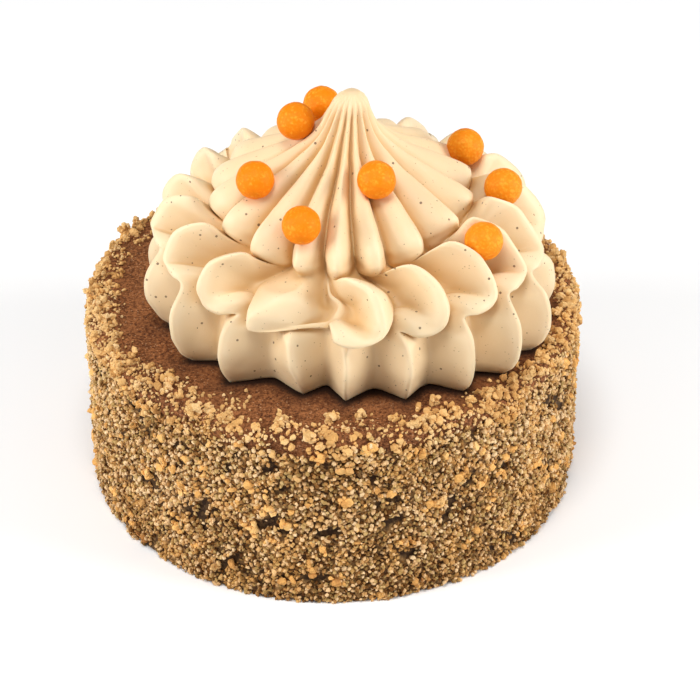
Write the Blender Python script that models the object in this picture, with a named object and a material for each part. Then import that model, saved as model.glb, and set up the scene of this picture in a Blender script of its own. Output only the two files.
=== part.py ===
"""Small round pumpkin cheesecake: a cake coated with biscuit crumbs, a tall swirl of
cream piped through a star tip, and round sugar pearls pressed into the cream.

Lengths in the named sizes are millimetres; the objects are in metres. +Z is up and the
front is towards -Y. The origin is the middle of the cake's flat underside.
"""

import math
import random

import bmesh
import bpy
import numpy as np
from mathutils import Vector
from mathutils.bvhtree import BVHTree

MM = 0.001
GAP = 0.3

# Cake
CAKE_R = 40.3
CAKE_H = 32.15
CAKE_FOOT_INSET = 0.9
CAKE_FOOT_H = 0.9
CAKE_RIM_INSET = 0.8
CAKE_RIM_DROP = 0.9
CAKE_TOP_R = 37.4
CAKE_COLUMNS = 84
CAKE_ROWS = 10
COAT_LOW = -0.15
COAT_HIGH = 0.75
RIM_LOW = -0.25
RIM_HIGH = 0.3

# Crumbs fused to the cake
RIM_CRUMBS = 66
SIDE_CRUMBS = 14
CRUMB_R_BIG = 1.7
CRUMB_R_SMALL = 0.8
CRUMB_UNEVEN = 0.25
CRUMB_NARROW = 0.8
CRUMB_STRETCH = 1.25
CRUMB_FLAT = 0.7
CRUMB_SUNK = 0.35
CRUMB_CLEAR = 0.45
CRUMB_OUTER_R = 39.9
CRUMB_BAND = 5.5
GOLDEN_TURN = math.pi * (3.0 - math.sqrt(5.0))

# Cream swirl: one ridge for each point of the star tip
RIDGES = 18
RIDGE_FIRST = -6
RIDGE_STEP = 360.0 / RIDGES
RIDGE_PHASE = -2.5
COLUMNS_PER_RIDGE = 8
SWIRL_X = 3.0
SWIRL_Y = -0.8
TIER_GATHER = 9.2
FINGER_SPREAD = 3.5
FINGER_SHIFT = -1.2
FINGER_SKEW = 4.0
BACK_RISE = -0.8
BACK_LEAN = 9.0
BACK_LEAN_START = 120.0
BACK_LEAN_SPAN = 60.0
FINGER_LOW = 13.0
FINGER_RISE = 6.0
FINGER_HIGH = 38.0
FINGER_FALL = 14.0
# Cross-section of a ridge, (1 - t**p)**q from crest to groove: p and q of the side that faces the front,
# then of the far side. Then how far the front side swells upward, and how far it rolls up by the crest
# and sinks beyond
FORMS = {
    "flute": (1.15, 1.6, 1.15, 1.6, 0.0, 0.0),
    "roll": (1.7, 2.0, 1.64, 1.0, 0.7, 0.0),
    "petal": (1.75, 3.3, 1.6, 1.0, 0.0, 0.0),
    "finger": (1.9, 0.8, 1.6, 0.9, 0.0, 0.0),
    "spire": (1.3, 1.1, 1.3, 1.1, 0.0, 0.0),
}
BACK_FORMS = {"roll": (2.0, 3.2, 1.6, 1.1, 0.0, 0.0), "petal": (2.0, 3.2, 1.6, 1.1, 0.0, 0.0)}
# The folded ridges' own: the tongue and the curl beside it
OWN_FORMS = {
    -1: {"roll": (1.5, 2.1, 1.6, 1.1, 0.0, 0.0), "petal": (1.5, 2.1, 1.6, 1.1, -1.2, 1.0)},
    0: {"petal": (1.75, 3.3, 1.6, 1.0, -0.8, 0.5)},
}

# A ridge from the foot to the peak. Each row: crest radius and height above the cake, groove
# radius and height, tier, and how far the crest and the groove share the ridge's lean.
PROFILE = {
    "foot": (30.8, 0.0, 27.8, 0.0, "flute", 0.0, 0.0),
    "low": (32.0, 2.2, 28.2, 2.2, "flute", 0.0, 0.0),
    "belly": (32.8, 6.0, 28.4, 6.0, "flute", 0.0, 0.0),
    "shoulder": (31.6, 9.8, 27.2, 9.8, "flute", 0.0, 0.0),
    "neck": (28.5, 11.3, 25.6, 10.88, "flute", 0.03, 0.24),
    "hook": (30.2, 11.56, 25.09, 11.81, "roll", 0.15, 0.45),
    "lip": (31.0, 11.87, 24.69, 12.49, "roll", 0.75, 0.6),
    "rim": (31.2, 15.2, 24.2, 13.18, "petal", 1.0, 0.75),
    "top": (28.2, 18.9, 23.0, 14.0, "petal", 1.05, 0.75),
    "inner": (24.4, 20.0, 21.0, 14.7, "petal", 0.6, 0.6),
    "crease": (20.6, 16.4, 17.4, 15.9, "finger", 0.0, 0.6),
    "nose": (21.9, 18.9, 17.0, 17.8, "finger", 0.0, 1.0),
    "knuckle": (20.2, 21.9, 16.8, 19.4, "finger", 0.0, 1.0),
    "low_cone": (15.6, 24.6, 13.0, 22.7, "finger", 0.0, 1.0),
    "mid_cone": (9.6, 27.8, 7.9, 26.5, "finger", 0.0, 0.8),
    "high_cone": (5.6, 31.0, 4.7, 30.4, "spire", 0.0, 0.5),
    "spire": (3.6, 34.2, 3.35, 34.0, "spire", 0.0, 0.0),
    "tip": (2.6, 36.6, 2.57, 36.58, "spire", 0.0, 0.0),
    "peak": (1.2, 37.9, 1.18, 37.88, "spire", 0.0, 0.0),
}
ROWS = list(PROFILE)
FOOT_SHARE = {"foot": 1.0, "low": 1.0, "belly": 0.8, "shoulder": 0.6, "neck": 0.4, "hook": 0.3, "lip": 0.2}
# How far the ridges away from the front fill out under their petals: outward, upward and share of the lean
FILL = {
    "low": (1.0, 0.0, 0.0), "belly": (1.9, 0.3, 0.0), "shoulder": (2.6, 0.7, 0.05), "neck": (3.0, 2.2, 0.3),
    "hook": (1.5, 3.0, 0.2), "lip": (0.7, 2.8, 0.05), "rim": (0.2, 0.6, 0.0),
}
FILLED = {-6: 0.3, -5: 0.15, -2: 0.15, -1: 0.0, 0: 0.0, 1: 0.0, 2: 0.6, 4: 0.85, 5: 0.1, 6: 0.1}
# How far each petal climbs toward the centre, and what outward and upward share of it each row takes
CLIMB = {-4: 1.4, -3: 1.4, -2: 0.6, 1: 0.5, 2: 2.2, 3: 3.8, 4: 4.2, 5: 3.5, 6: 1.5}
CLIMB_SHARE = {
    "rim": (0.0, 0.1), "top": (0.0, 0.55), "inner": (0.0, 1.0), "crease": (0.1, 0.8), "nose": (-0.25, 0.35),
}
RISING = ("hook", "lip", "rim", "top", "inner")
LOWER_TURN = {-3: 0.5, -2: -2, -1: 3.5, 0: 0.5, 1: 1.7, 2: 1.2, 3: -2.5, 4: -7, 5: -6, 6: -3}
FINGER_TURN = {-5: 2, -4: 3, -3: 4, -2: 4, -1: 4, 1: -4, 2: -5, 3: -2, 5: 2}
LEAN = {
    -6: -9, -5: -11, -4: -13, -3: -13, -2: -12, -1: -16,
    0: 10, 1: 12.5, 2: 14, 3: 14, 4: 14, 5: 13, 6: 9,
}
FOOT_REACH = {
    -4: -0.7, -3: 0.3, -2: 0.1, -1: -2.2, 0: -1.4, 1: -0.7, 2: 1.1, 3: 1.5, 4: 1.7, 5: 0.2,
}
# Ridges whose crest strays from the others at the front: share of the lean, outward and upward shift
FOLDED = {
    -2: {"rim": (0.85, 0.0, 0.0), "top": (0.65, 0.0, 0.0), "inner": (0.0, 0.0, 0.0)},
    -1: {
        "belly": (0.1, 0.0, 0.0), "shoulder": (0.2, 0.0, 0.0), "neck": (0.3, 0.0, 0.0),
        "hook": (0.75, 0.3, 0.0), "lip": (1.0, 0.0, -0.6), "rim": (0.85, -0.6, -0.9),
        "top": (0.5, -0.6, -2.4), "inner": (0.25, -0.6, -3.8),
    },
    0: {
        "neck": (0.0, 0.0, 0.0), "hook": (-0.35, 1.0, 0.7), "lip": (0.35, 1.9, 0.3),
        "rim": (1.1, 0.4, -1.2), "top": (1.1, 0.0, 0.0), "inner": (0.35, 0.0, -0.6),
    },
}
TONGUE = -1
BACK_RIDGE = 6
FACING_TURN = 9.0
FACING_GAIN = 6.0
# The groove between them, widened into a bowl: turn and outward shift
BOWL = {
    "neck": (0.0, 0.8), "hook": (2.0, 2.2), "lip": (4.0, 2.0), "rim": (6.0, 1.0), "top": (7.0, 0.0),
    "inner": (2.0, 0.0),
}
# Surface spans between a profile row and the next, where there is more than one
SPANS = {"lip": 2, "rim": 2}

# Pearls: the turn from the front, the distance from the swirl's axis and the height above the cake
PEARL_R = 3.0
PEARL_SEGMENTS = 12
PEARL_RINGS = 7
PEARLS = (
    (-98.1, 8.8, 32.2), (-149.0, 9.1, 31.35), (-62.2, 16.9, 27.0), (-23.1, 19.5, 25.1),
    (20.1, 11.3, 28.7), (116.3, 20.5, 22.8), (85.1, 24.1, 22.1), (52.4, 25.8, 20.8),
    (180.0, 23.5, 21.4),
)


def clear_scene():
    for obj in list(bpy.data.objects):
        bpy.data.objects.remove(obj, do_unlink=True)


def material(name, colour, roughness):
    made = bpy.data.materials.new(name)
    made.use_nodes = True
    shader = made.node_tree.nodes["Principled BSDF"]
    shader.inputs["Base Color"].default_value = (*colour, 1.0)
    shader.inputs["Roughness"].default_value = roughness
    return made


def add_object(name, bm, surface):
    mesh = bpy.data.meshes.new(name)
    bmesh.ops.recalc_face_normals(bm, faces=bm.faces)
    bm.to_mesh(mesh)
    bm.free()
    mesh.materials.append(surface)
    obj = bpy.data.objects.new(name, mesh)
    bpy.context.scene.collection.objects.link(obj)
    return obj


def spun_grid(rows, columns):
    """An open tube of unit radius whose rings are one unit apart, for placing by row and column."""
    bm = bmesh.new()
    line = [bm.verts.new((1.0, 0.0, float(row))) for row in range(rows)]
    edges = [bm.edges.new(pair) for pair in zip(line, line[1:])]
    bmesh.ops.spin(
        bm, geom=line + edges, cent=(0, 0, 0), axis=(0, 0, 1),
        angle=2.0 * math.pi, steps=columns, use_merge=True,
    )
    return bm


def row_and_column(vert, columns):
    turn = math.atan2(vert.co.y, vert.co.x) / (2.0 * math.pi)
    return round(vert.co.z), round(turn * columns) % columns


def close_ends(bm):
    rim = [edge for edge in bm.edges if edge.is_boundary]
    bmesh.ops.holes_fill(bm, edges=rim, sides=0)


def ridge_paths():
    """Crest and groove paths of every ridge, as (turn, radius, height) for each profile row."""
    crest = np.zeros((RIDGES, len(ROWS), 3))
    groove = np.zeros((RIDGES, len(ROWS), 3))
    numbers = np.arange(RIDGE_FIRST, RIDGE_FIRST + RIDGES)
    plain = RIDGE_STEP * numbers + RIDGE_PHASE
    sway = np.sin(np.radians(plain))
    lower = plain - TIER_GATHER * sway + [LOWER_TURN.get(k, 0.0) for k in numbers]
    finger = plain + FINGER_SPREAD * sway + [FINGER_TURN.get(k, 0.0) for k in numbers]
    at_back = BACK_LEAN * (1.0 - (plain - BACK_LEAN_START) / BACK_LEAN_SPAN)
    lean = np.array([LEAN.get(k, at_back[i]) for i, k in enumerate(numbers)])
    reach = np.array([FOOT_REACH.get(k, 0.0) for k in numbers])
    rise = BACK_RISE * (1.0 - np.cos(np.radians(plain))) / 2.0
    fill = np.array([FILLED.get(k, 1.0) for k in numbers])
    climb = np.array([CLIMB.get(k, 0.0) for k in numbers])
    beside_lower = (lower + np.append(lower[1:], lower[0] + 360.0)) / 2.0
    beside_finger = (finger + np.append(finger[1:], finger[0] + 360.0)) / 2.0
    beside_lean = (lean + np.roll(lean, -1)) / 2.0
    beside_reach = (reach + np.roll(reach, -1)) / 2.0
    skew = FINGER_SKEW * np.clip(np.sin(np.radians(beside_finger)) * 2.0, -1.0, 1.0)
    for j, row in enumerate(ROWS):
        crest_r, crest_z, groove_r, groove_z, tier, crest_lean, groove_lean = PROFILE[row]
        fold = np.array([FOLDED.get(k, {}).get(row, (crest_lean, 0.0, 0.0)) for k in numbers])
        foot = FOOT_SHARE.get(row, 0.0)
        lift = rise if row in RISING else 0.0
        out, up, along = FILL.get(row, (0.0, 0.0, 0.0))
        inward, upward = CLIMB_SHARE.get(row, (0.0, 0.0))
        crest[:, j, 1] = crest_r + reach * foot + fill * out + climb * inward + fold[:, 1]
        groove[:, j, 1] = groove_r + beside_reach * foot
        crest[:, j, 2] = crest_z + lift + fill * up + climb * upward + fold[:, 2]
        groove[:, j, 2] = groove_z + lift
        if tier in ("finger", "spire"):
            crest[:, j, 0] = finger
            groove[:, j, 0] = beside_finger - skew * groove_lean
        else:
            crest[:, j, 0] = lower + lean * (fold[:, 0] + fill * along)
            groove[:, j, 0] = beside_lower + beside_lean * groove_lean
        groove[TONGUE - RIDGE_FIRST, j, :2] += BOWL.get(row, (0.0, 0.0))
    return crest, groove


def smooth_path(points, spans):
    """Catmull-Rom samples along axis 1 of an array of paths, with spans[j] steps after row j."""
    before = 2.0 * points[:, :1] - points[:, 1:2]
    after = 2.0 * points[:, -1:] - points[:, -2:-1]
    padded = np.concatenate([before, points, after], axis=1)
    samples = []
    for j in range(points.shape[1] - 1):
        a, b, c, d = (padded[:, j + step] for step in range(4))
        for step in range(spans[j]):
            t = step / spans[j]
            cubic = (3.0 * b - a - 3.0 * c + d) * t**3
            samples.append(0.5 * (2.0 * b + (c - a) * t + (2.0 * a - 5.0 * b + 4.0 * c - d) * t**2 + cubic))
    samples.append(points[:, -1])
    return np.stack(samples, axis=1)


def form_path(number, spans):
    """Cross-section numbers along a ridge, from the foot to the peak."""
    own = OWN_FORMS.get(number, BACK_FORMS if number > BACK_RIDGE else {})
    forms = {**FORMS, **own}
    return smooth_path(np.array([[forms[PROFILE[row][4]] for row in ROWS]]), spans)[0]


def swirl_points():
    """Positions of the cream's surface by row and column."""
    crest, groove = ridge_paths()
    spans = [SPANS.get(row, 1) for row in ROWS]
    crest = smooth_path(crest, spans)
    groove = smooth_path(groove, spans)
    forms = {number: form_path(number, spans) for number in range(RIDGE_FIRST, RIDGE_FIRST + RIDGES + 1)}
    rows = crest.shape[1]
    columns = RIDGES * COLUMNS_PER_RIDGE
    points = np.zeros((rows, columns, 3))
    for column in range(columns):
        ridge, part = divmod(column, COLUMNS_PER_RIDGE)
        across = 2.0 * part / COLUMNS_PER_RIDGE
        past = across > 1.0
        t = 2.0 - across if past else across
        number = RIDGE_FIRST + ridge + past
        facing = FACING_GAIN * math.sin(math.radians(RIDGE_STEP * number + FACING_TURN))
        facing = max(-1.0, min(1.0, facing))
        front_side = 0.5 + 0.5 * facing * (1.0 if past else -1.0)
        section = forms[number]
        p, q = (section[:, i] * front_side + section[:, i + 2] * (1.0 - front_side) for i in (0, 1))
        swell = section[:, 4] * math.sin(math.pi * t) + section[:, 5] * math.sin(2.0 * math.pi * t)
        near = crest[(ridge + past) % RIDGES].copy()
        near[:, 0] += 360.0 * (ridge + past == RIDGES)
        low = groove[ridge]
        height = (1.0 - t**p) ** q
        turn = np.radians(near[:, 0] + (low[:, 0] - near[:, 0]) * t)
        radius = low[:, 1] + (near[:, 1] - low[:, 1]) * height
        z = low[:, 2] + (near[:, 2] - low[:, 2]) * height + swell * front_side
        shift = FINGER_SHIFT * np.clip((z - FINGER_LOW) / FINGER_RISE, 0.0, 1.0)
        shift *= np.clip((FINGER_HIGH - z) / FINGER_FALL, 0.0, 1.0)
        points[:, column, 0] = radius * np.sin(turn) + SWIRL_X + shift
        points[:, column, 1] = -radius * np.cos(turn) + SWIRL_Y
        points[:, column, 2] = z + CAKE_H + GAP
    return points


def make_swirl(surface):
    points = swirl_points()
    rows, columns, _ = points.shape
    bm = spun_grid(rows, columns)
    for vert in bm.verts:
        row, column = row_and_column(vert, columns)
        vert.co = Vector(points[row, column]) * MM
    close_ends(bm)
    bmesh.ops.triangulate(bm, faces=bm.faces)
    return add_object("swirl", bm, surface)


def tree_of(obj):
    bm = bmesh.new()
    bm.from_mesh(obj.data)
    tree = BVHTree.FromBMesh(bm)
    bm.free()
    return tree


def pearl_centre(turn, distance, height):
    """The middle of a pearl that has sunk about a millimetre into the cream."""
    angle = math.radians(turn)
    x = SWIRL_X + distance * math.sin(angle)
    y = SWIRL_Y - distance * math.cos(angle)
    return Vector((x, y, CAKE_H + height)) * MM


def ball(name, centre, radius, surface):
    bm = bmesh.new()
    bmesh.ops.create_uvsphere(bm, u_segments=PEARL_SEGMENTS, v_segments=PEARL_RINGS, radius=radius * MM)
    bmesh.ops.translate(bm, verts=bm.verts, vec=centre)
    return add_object(name, bm, surface)


def collection_of(name, objects):
    made = bpy.data.collections.new(name)
    bpy.context.scene.collection.children.link(made)
    for obj in objects:
        bpy.context.scene.collection.objects.unlink(obj)
        made.objects.link(obj)
    return made


def boolean_with(target, group, operation):
    """Applies one Boolean of all of a collection's objects and removes them."""
    step = target.modifiers.new(operation.title(), "BOOLEAN")
    step.operation = operation
    step.operand_type = "COLLECTION"
    step.collection = group
    step.solver = "EXACT"
    bpy.context.view_layer.update()
    graph = bpy.context.evaluated_depsgraph_get()
    done = bpy.data.meshes.new_from_object(target.evaluated_get(graph))
    target.modifiers.remove(step)
    target.data = done
    for obj in list(group.objects):
        bpy.data.objects.remove(obj, do_unlink=True)
    bpy.data.collections.remove(group)


def drop_scrap(obj):
    """Keeps the largest connected piece of a mesh."""
    bm = bmesh.new()
    bm.from_mesh(obj.data)
    left = set(bm.verts)
    pieces = []
    while left:
        edge = [left.pop()]
        piece = set(edge)
        while edge:
            for link in edge.pop().link_edges:
                for vert in link.verts:
                    if vert in left:
                        left.discard(vert)
                        piece.add(vert)
                        edge.append(vert)
        pieces.append(piece)
    pieces.sort(key=len)
    loose = [vert for piece in pieces[:-1] for vert in piece]
    bmesh.ops.delete(bm, geom=loose, context="VERTS")
    bm.to_mesh(obj.data)
    bm.free()


def cake_profile():
    """Radius and height from the underside's edge up the side and onto the top."""
    low = CAKE_FOOT_H
    high = CAKE_H - CAKE_RIM_DROP
    side = [(CAKE_R, low + (high - low) * step / (CAKE_ROWS - 1)) for step in range(CAKE_ROWS)]
    foot = [(CAKE_R - CAKE_FOOT_INSET, 0.0)]
    rim = [(CAKE_R - CAKE_RIM_INSET, CAKE_H), (CAKE_TOP_R, CAKE_H)]
    return foot + side + rim


def make_cake(surface):
    draw = random.Random(11)
    profile = cake_profile()
    bm = spun_grid(len(profile), CAKE_COLUMNS)
    last = len(profile) - 1
    for vert in sorted(bm.verts, key=lambda v: row_and_column(v, CAKE_COLUMNS)):
        row, column = row_and_column(vert, CAKE_COLUMNS)
        radius, height = profile[row]
        coat = draw.uniform(COAT_LOW, COAT_HIGH)
        lift = draw.uniform(RIM_LOW, RIM_HIGH)
        if row < last:
            radius += coat
        if row == last - 1:
            height += lift
        turn = 2.0 * math.pi * (column + 0.5 * (row % 2)) / CAKE_COLUMNS
        vert.co = Vector((radius * math.sin(turn), -radius * math.cos(turn), height)) * MM
    close_ends(bm)
    return add_object("cake", bm, surface)


def crumb(centre, radius, draw, surface):
    bm = bmesh.new()
    bmesh.ops.create_icosphere(bm, subdivisions=1, radius=radius * MM)
    long = draw.uniform(CRUMB_NARROW, CRUMB_STRETCH)
    wide = draw.uniform(CRUMB_NARROW, CRUMB_STRETCH)
    high = draw.uniform(CRUMB_FLAT, 1.0)
    for vert in bm.verts:
        vert.co *= 1.0 + draw.uniform(-CRUMB_UNEVEN, CRUMB_UNEVEN)
        vert.co = Vector((vert.co.x * long, vert.co.y * wide, vert.co.z * high)) + centre
    return add_object("crumb", bm, surface)


def crumb_radius(step, count):
    return CRUMB_R_BIG + (CRUMB_R_SMALL - CRUMB_R_BIG) * step / (count - 1)


def rim_crumbs(swirl, surface):
    """Crumbs on the edge of the top, the largest first, pushed outwards until they clear the cream."""
    draw = random.Random(23)
    tree = tree_of(swirl)
    made = []
    for step in range(RIM_CRUMBS):
        size = crumb_radius(step, RIM_CRUMBS)
        turn = step * GOLDEN_TURN
        distance = CRUMB_OUTER_R - CRUMB_BAND * draw.random() ** 1.5
        height = CAKE_H + size * (1.0 - 2.0 * CRUMB_SUNK)
        while distance <= CRUMB_OUTER_R:
            centre = Vector((distance * math.sin(turn), -distance * math.cos(turn), height)) * MM
            nearest = tree.find_nearest(centre)[3]
            if nearest > (size * (1.0 + CRUMB_UNEVEN) * CRUMB_STRETCH + CRUMB_CLEAR) * MM:
                made.append(crumb(centre, size, draw, surface))
                break
            distance += CRUMB_CLEAR
    return made


def side_crumbs(surface):
    draw = random.Random(37)
    made = []
    for step in range(SIDE_CRUMBS):
        size = crumb_radius(step, SIDE_CRUMBS)
        turn = step * GOLDEN_TURN + 1.0
        height = draw.uniform(CAKE_FOOT_H + 2.0 * size, CAKE_H - 2.0 * size)
        centre = Vector((CAKE_R * math.sin(turn), -CAKE_R * math.cos(turn), height)) * MM
        made.append(crumb(centre, size, draw, surface))
    return made


def main():
    clear_scene()
    biscuit = material("biscuit crumbs", (0.42, 0.26, 0.12), 0.9)
    cream = material("spiced cream", (0.83, 0.70, 0.52), 0.45)
    sugar = material("orange sugar", (0.90, 0.32, 0.04), 0.5)
    swirl = make_swirl(cream)
    centres = [pearl_centre(*place) for place in PEARLS]
    cake = make_cake(biscuit)
    crumbs = rim_crumbs(swirl, biscuit) + side_crumbs(biscuit)
    boolean_with(cake, collection_of("crumbs", crumbs), "UNION")
    drop_scrap(cake)
    pockets = [ball("pocket", centre, PEARL_R + GAP, cream) for centre in centres]
    boolean_with(swirl, collection_of("pockets", pockets), "DIFFERENCE")
    for number, centre in enumerate(centres, start=1):
        ball(f"pearl_{number}", centre, PEARL_R, sugar)


main()
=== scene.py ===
"""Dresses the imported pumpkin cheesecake: piped cream, brown top, crumb coat and sugar pearls."""

import math
import random

import bmesh
import bpy
import numpy as np
from bpy.props import FloatProperty, FloatVectorProperty, IntProperty, PointerProperty
from mathutils import Euler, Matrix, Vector, noise
from mathutils.bvhtree import BVHTree


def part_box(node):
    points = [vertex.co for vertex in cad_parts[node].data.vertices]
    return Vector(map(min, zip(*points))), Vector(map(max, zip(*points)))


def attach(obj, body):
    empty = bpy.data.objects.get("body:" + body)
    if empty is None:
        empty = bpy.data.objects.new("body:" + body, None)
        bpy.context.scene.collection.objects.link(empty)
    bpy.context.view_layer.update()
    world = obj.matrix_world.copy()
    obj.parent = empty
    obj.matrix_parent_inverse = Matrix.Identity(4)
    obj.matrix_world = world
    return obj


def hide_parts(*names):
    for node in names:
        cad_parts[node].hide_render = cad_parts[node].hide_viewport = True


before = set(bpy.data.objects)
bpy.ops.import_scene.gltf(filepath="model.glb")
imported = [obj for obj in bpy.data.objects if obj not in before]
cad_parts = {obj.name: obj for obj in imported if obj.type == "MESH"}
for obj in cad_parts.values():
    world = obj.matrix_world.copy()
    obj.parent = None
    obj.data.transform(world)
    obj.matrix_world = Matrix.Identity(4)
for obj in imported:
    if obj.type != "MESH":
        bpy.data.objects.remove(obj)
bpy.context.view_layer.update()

bl_info = {
    "name": "Pumpkin cheesecake",
    "version": (1, 0, 0),
    "blender": (4, 5, 0),
    "location": "View3D > Sidebar > Cheesecake",
    "description": "A small crumb-coated cheesecake with a piped cream swirl and sugar pearls",
    "category": "Add Mesh",
}

# Sizes are in millimetres and turns in degrees, unless MM or math.radians is applied
MM = 0.001
SWIRL_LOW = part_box("swirl")[0]
PEARL_NODES = sorted(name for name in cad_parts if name.startswith("pearl_"))
GAP = 0.3
CAKE_H = SWIRL_LOW[2] / MM - GAP

# The swirl's ridges, as in the solid: one for each point of the star tip
RIDGES = 18
RIDGE_FIRST = -6
RIDGE_STEP = 360.0 / RIDGES
RIDGE_PHASE = -2.5
SWIRL_X = 3.0
SWIRL_Y = -0.8
TIER_GATHER = 9.2
FINGER_SPREAD = 3.5
FINGER_SHIFT = -1.2
FINGER_SKEW = 4.0
BACK_RISE = -0.8
BACK_LEAN = 9.0
BACK_LEAN_START = 120.0
BACK_LEAN_SPAN = 60.0
FINGER_LOW = 13.0
FINGER_RISE = 6.0
FINGER_HIGH = 38.0
FINGER_FALL = 14.0
# Cross-section of a ridge, (1 - t**p)**q from crest to groove: p and q of the side that faces the front,
# then of the far side. Then how far the front side swells upward, and how far it rolls up by the crest
# and sinks beyond
FORMS = {
    "flute": (1.15, 1.6, 1.15, 1.6, 0.0, 0.0),
    "roll": (1.7, 2.0, 1.6, 1.0, 1.7, 0.0),
    "petal": (1.75, 3.3, 1.6, 1.0, 0.0, 0.0),
    "finger": (1.9, 0.8, 1.6, 0.9, 0.0, 0.0),
    "spire": (1.3, 1.1, 1.3, 1.1, 0.0, 0.0),
}
BACK_FORMS = {"roll": (2.0, 3.2, 1.6, 1.1, 0.0, 0.0), "petal": (2.0, 3.2, 1.6, 1.1, 0.0, 0.0)}
# The folded ridges' own: the tongue and the curl beside it
OWN_FORMS = {
    -1: {"roll": (1.5, 2.1, 1.6, 1.1, 0.0, 0.0), "petal": (1.5, 2.1, 1.6, 1.1, -1.2, 1.0)},
    0: {"petal": (1.75, 3.3, 1.6, 1.0, -0.8, 0.5)},
}

# Crest radius and height, groove radius and height, tier, share of the lean, in millimetres
PROFILE = {
    "foot": (30.6, -0.3, 27.6, 0.1, "flute", 0.0, 0.0),
    "low": (32.0, 2.2, 28.2, 2.3, "flute", 0.0, 0.0),
    "belly": (32.8, 6.0, 28.4, 6.0, "flute", 0.0, 0.0),
    "shoulder": (31.6, 9.8, 27.2, 9.8, "flute", 0.0, 0.0),
    "neck": (28.5, 11.3, 25.6, 10.9, "flute", -0.1, 0.3),
    "hook": (30.2, 11.1, 25.2, 11.8, "roll", 0.28, 0.45),
    "lip": (31.0, 11.8, 24.7, 12.5, "roll", 0.75, 0.6),
    "rim": (31.2, 15.2, 24.2, 13.2, "petal", 1.0, 0.75),
    "top": (28.2, 18.9, 23.0, 14.0, "petal", 1.05, 0.75),
    "inner": (24.4, 20.0, 21.0, 14.7, "petal", 0.6, 0.6),
    "crease": (20.6, 16.4, 17.4, 15.9, "finger", 0.0, 0.6),
    "nose": (21.9, 18.9, 17.0, 17.8, "finger", 0.0, 1.0),
    "knuckle": (20.2, 21.9, 16.8, 19.4, "finger", 0.0, 1.0),
    "low_cone": (15.6, 24.6, 13.0, 22.7, "finger", 0.0, 1.0),
    "mid_cone": (9.6, 27.8, 7.9, 26.5, "finger", 0.0, 0.8),
    "high_cone": (5.6, 31.0, 4.7, 30.4, "spire", 0.0, 0.5),
    "spire": (3.6, 34.2, 3.0, 33.9, "spire", 0.0, 0.0),
    "tip": (2.6, 36.6, 2.4, 36.5, "spire", 0.0, 0.0),
    "peak": (1.2, 37.9, 1.18, 37.88, "spire", 0.0, 0.0),
}
ROWS = list(PROFILE)
FOOT_SHARE = {"foot": 1.0, "low": 1.0, "belly": 0.8, "shoulder": 0.6, "neck": 0.4, "hook": 0.3, "lip": 0.2}
# How far the ridges away from the front fill out under their petals: outward, upward and share of the lean
FILL = {
    "low": (1.0, 0.0, 0.0), "belly": (1.9, 0.3, 0.0), "shoulder": (2.6, 0.7, 0.05), "neck": (3.0, 2.2, 0.3),
    "hook": (1.5, 3.0, 0.2), "lip": (0.7, 2.8, 0.05), "rim": (0.2, 0.6, 0.0),
}
FILLED = {-6: 0.3, -5: 0.15, -2: 0.15, -1: 0.0, 0: 0.0, 1: 0.0, 2: 0.6, 4: 0.85, 5: 0.1, 6: 0.1}
# How far each petal climbs toward the centre, and what outward and upward share of it each row takes
CLIMB = {-4: 1.4, -3: 1.4, -2: 0.6, 1: 0.5, 2: 2.2, 3: 3.8, 4: 4.2, 5: 3.5, 6: 1.5}
CLIMB_SHARE = {
    "rim": (0.0, 0.1), "top": (0.0, 0.55), "inner": (0.0, 1.0), "crease": (0.1, 0.8), "nose": (-0.25, 0.35),
}
RISING = ("hook", "lip", "rim", "top", "inner")
LOWER_TURN = {-3: 0.5, -2: -2, -1: 3.5, 0: 0.5, 1: 1.7, 2: 1.2, 3: -2.5, 4: -7, 5: -6, 6: -3}
FINGER_TURN = {-5: 2, -4: 3, -3: 4, -2: 4, -1: 4, 1: -4, 2: -5, 3: -2, 5: 2}
LEAN = {
    -6: -9, -5: -11, -4: -13, -3: -13, -2: -12, -1: -16,
    0: 10, 1: 12.5, 2: 14, 3: 14, 4: 14, 5: 13, 6: 9,
}
FOOT_REACH = {
    -4: -0.7, -3: 0.3, -2: 0.1, -1: -2.2, 0: -1.4, 1: -0.7, 2: 1.1, 3: 1.5, 4: 1.7, 5: 0.2,
}
# Ridges whose crest strays from the others at the front: share of the lean, outward and upward shift
FOLDED = {
    -2: {"rim": (0.85, 0.0, 0.0), "top": (0.65, 0.0, 0.0), "inner": (0.0, 0.0, 0.0)},
    -1: {
        "belly": (0.1, 0.0, 0.0), "shoulder": (0.2, 0.0, 0.0), "neck": (0.3, 0.0, 0.0),
        "hook": (0.75, 0.3, 0.0), "lip": (1.0, 0.0, -0.6), "rim": (0.85, -0.6, -0.9),
        "top": (0.5, -0.6, -2.4), "inner": (0.25, -0.6, -3.8),
    },
    0: {
        "neck": (0.0, 0.0, 0.0), "hook": (-0.35, 1.0, 0.7), "lip": (0.35, 1.9, 0.3),
        "rim": (1.1, 0.4, -1.2), "top": (1.1, 0.0, 0.0), "inner": (0.35, 0.0, -0.6),
    },
}
TONGUE = -1
BACK_RIDGE = 6
FACING_TURN = 9.0
FACING_GAIN = 6.0
# The groove between them, widened into a bowl: turn and outward shift
BOWL = {
    "neck": (0.0, 0.8), "hook": (2.0, 2.2), "lip": (4.0, 2.0), "rim": (6.0, 1.0), "top": (7.0, 0.0),
    "inner": (2.0, 0.0),
}

# The cream's surface: the lengths over which it wanders and the seed of that noise, the rounds of smoothing
# that find its sharp edges for the painted highlight, how far a pearl's sugar stains it, and the heights
# above the cake between which the painted shade on its foot fades
WANDER_LONG = 5.0
WANDER_SHORT = 2.0
WANDER_SEED = 7
EDGE_SMOOTHING = 6
STAIN_REACH = 1.1
FOOT_SHADE_LOW = 9.0
FOOT_SHADE_HIGH = 21.0
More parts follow.
